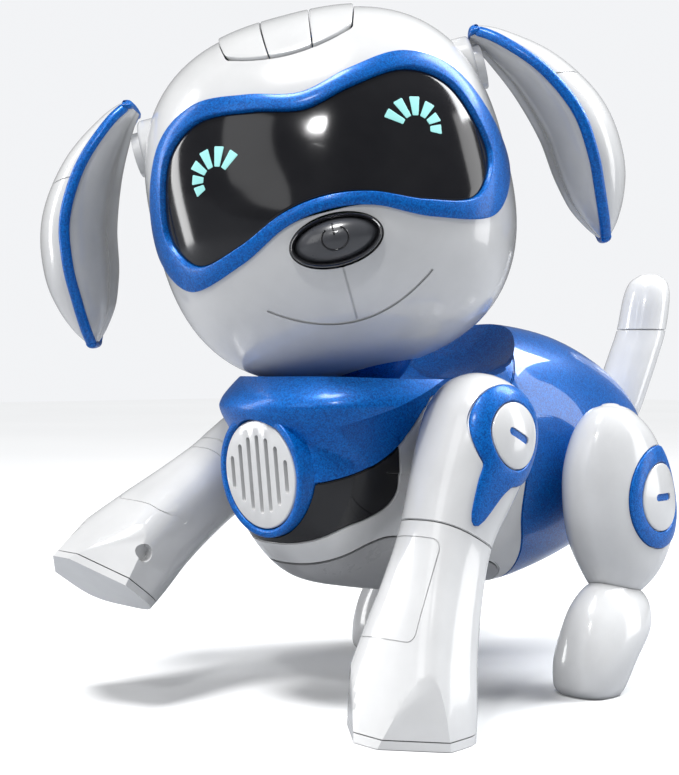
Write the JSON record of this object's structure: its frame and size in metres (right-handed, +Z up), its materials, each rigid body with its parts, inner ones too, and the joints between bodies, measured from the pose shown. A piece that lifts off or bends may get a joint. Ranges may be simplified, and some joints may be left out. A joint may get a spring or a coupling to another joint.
{
  "type": "robot dog toy",
  "caption": "Toy robot puppy with a turning, leaning head, swinging ears, legs and tail, a glossy visor with arc-shaped eye lights, a nose button, touch buttons and a chest speaker.",
  "frame": {"origin": "on the floor below the middle of the overall footprint", "axes": "+Z up; the body faces -Y and its left side is +X"},
  "size_m": [0.1654, 0.2552, 0.2282],
  "materials": {
    "white": "gloss pearl white",
    "grey": "satin light grey",
    "blue": "gloss blue with fine metallic flake",
    "black": "mirror gloss black",
    "nose": "gloss dark grey",
    "light": "milky light guide, lit pale cyan",
    "rubber": "matt black",
    "steel": "plain",
    "board": "green circuit board",
    "cell": "steel cells in a plastic sleeve"
  },
  "bodies": {
    "torso": {"speaker_grille": "white", "speaker": "rubber", "chest_collar": "blue", "chest_panel": "black", "chest_trim": "white", "battery_door": "blue", "door_screw": "steel", "belly_shell": "grey", "back_shell": "blue", "drive_unit": "rubber", "rear_axle": "rubber", "battery_pack": "cell", "circuit_board": "board"},
    "neck": {"neck_ball": "blue"},
    "head": {"visor_bezel": "blue", "left_eye_lights": "light", "right_eye_lights": "light", "visor_glass": "black", "left_ear_boss": "white", "right_ear_boss": "white", "head_rear_panel": "blue", "head_face_shell": "white", "head_rear_shell": "white", "eye_board": "board"},
    "nose_button": {"nose_button": "nose"},
    "touch_button_right": {"touch_button_right": "white"},
    "touch_button_middle": {"touch_button_middle": "white"},
    "touch_button_left": {"touch_button_left": "white"},
    "left_ear": {"left_ear_outer": "white", "left_ear_inner": "grey", "left_ear_rim": "blue"},
    "right_ear": {"right_ear_outer": "white", "right_ear_inner": "grey", "right_ear_rim": "blue"},
    "power_switch": {"power_switch": "rubber"},
    "left_front_leg": {"left_front_upper_leg": "white", "left_front_lower_leg": "white", "left_front_ring_cover": "blue", "left_front_hub_cap": "white", "left_front_paw_pad": "white"},
    "right_front_leg": {"right_front_upper_leg": "white", "right_front_lower_leg": "white", "right_front_ring_cover": "blue", "right_front_hub_cap": "white", "right_front_paw_pad": "white"},
    "left_rear_leg": {"left_rear_thigh": "white", "left_rear_ring_cover": "blue", "left_rear_hub_cap": "white", "left_rear_foot": "white"},
    "right_rear_leg": {"right_rear_thigh": "white", "right_rear_ring_cover": "blue", "right_rear_hub_cap": "white", "right_rear_foot": "white"},
    "tail": {"tail_base": "white", "tail_tip": "white"}
  },
  "joints": [
    {"name": "neck_turn", "type": "hinge", "parent": "torso", "child": "neck", "pos_m": [0.0125, -0.03863, 0.1], "axis": [0, 0, 1], "range_deg": [-90, 5]},
    {"name": "head_lean", "type": "hinge", "parent": "neck", "child": "head", "pos_m": [0.0125, -0.03863, 0.117], "axis": [-0.7071, 0.7071, 0], "range_deg": [-2, 28]},
    {"name": "left_ear_swing", "type": "hinge", "parent": "head", "child": "left_ear", "pos_m": [0.03089, -0.02024, 0.20696], "axis": [0.6861, 0.6861, 0.2419], "range_deg": [-15, 15]},
    {"name": "right_ear_swing", "type": "hinge", "parent": "head", "child": "right_ear", "pos_m": [-0.03361, -0.08473, 0.18422], "axis": [0.6861, 0.6861, 0.2419], "range_deg": [-15, 15]},
    {"name": "nose_press", "type": "slide", "parent": "head", "child": "nose_button", "axis": [-0.7071, 0.7071, 0], "range_m": [0, 0.0012], "stiffness_N_per_m": 300},
    {"name": "touch_left_press", "type": "slide", "parent": "head", "child": "touch_button_left", "axis": [-0.144, 0.454, -0.8793], "range_m": [0, 0.0003], "stiffness_N_per_m": 300},
    {"name": "touch_middle_press", "type": "slide", "parent": "head", "child": "touch_button_middle", "axis": [-0.144, 0.454, -0.8793], "range_m": [0, 0.0003], "stiffness_N_per_m": 300},
    {"name": "touch_right_press", "type": "slide", "parent": "head", "child": "touch_button_right", "axis": [-0.144, 0.454, -0.8793], "range_m": [0, 0.0003], "stiffness_N_per_m": 300},
    {"name": "left_front_leg_swing", "type": "hinge", "parent": "torso", "child": "left_front_leg", "pos_m": [0.0575, -0.03333, 0.088], "axis": [1, 0, 0], "range_deg": [-34, 26]},
    {"name": "right_front_leg_swing", "type": "hinge", "parent": "torso", "child": "right_front_leg", "pos_m": [-0.0325, -0.03333, 0.088], "axis": [1, 0, 0], "range_deg": [-2, 63]},
    {"name": "left_rear_leg_swing", "type": "hinge", "parent": "torso", "child": "left_rear_leg", "pos_m": [0.0595, 0.04367, 0.065], "axis": [1, 0, 0], "range_deg": [-12, 12]},
    {"name": "right_rear_leg_swing", "type": "hinge", "parent": "torso", "child": "right_rear_leg", "pos_m": [-0.0345, 0.04367, 0.065], "axis": [1, 0, 0], "range_deg": [-12, 12]},
    {"name": "tail_tilt", "type": "hinge", "parent": "torso", "child": "tail", "pos_m": [0.0125, 0.09767, 0.093], "axis": [1, 0, 0], "range_deg": [-10, 10]},
    {"name": "power_slide", "type": "slide", "parent": "torso", "child": "power_switch", "axis": [1, 0, 0], "range_m": [0, 0.0025]}
  ]
}
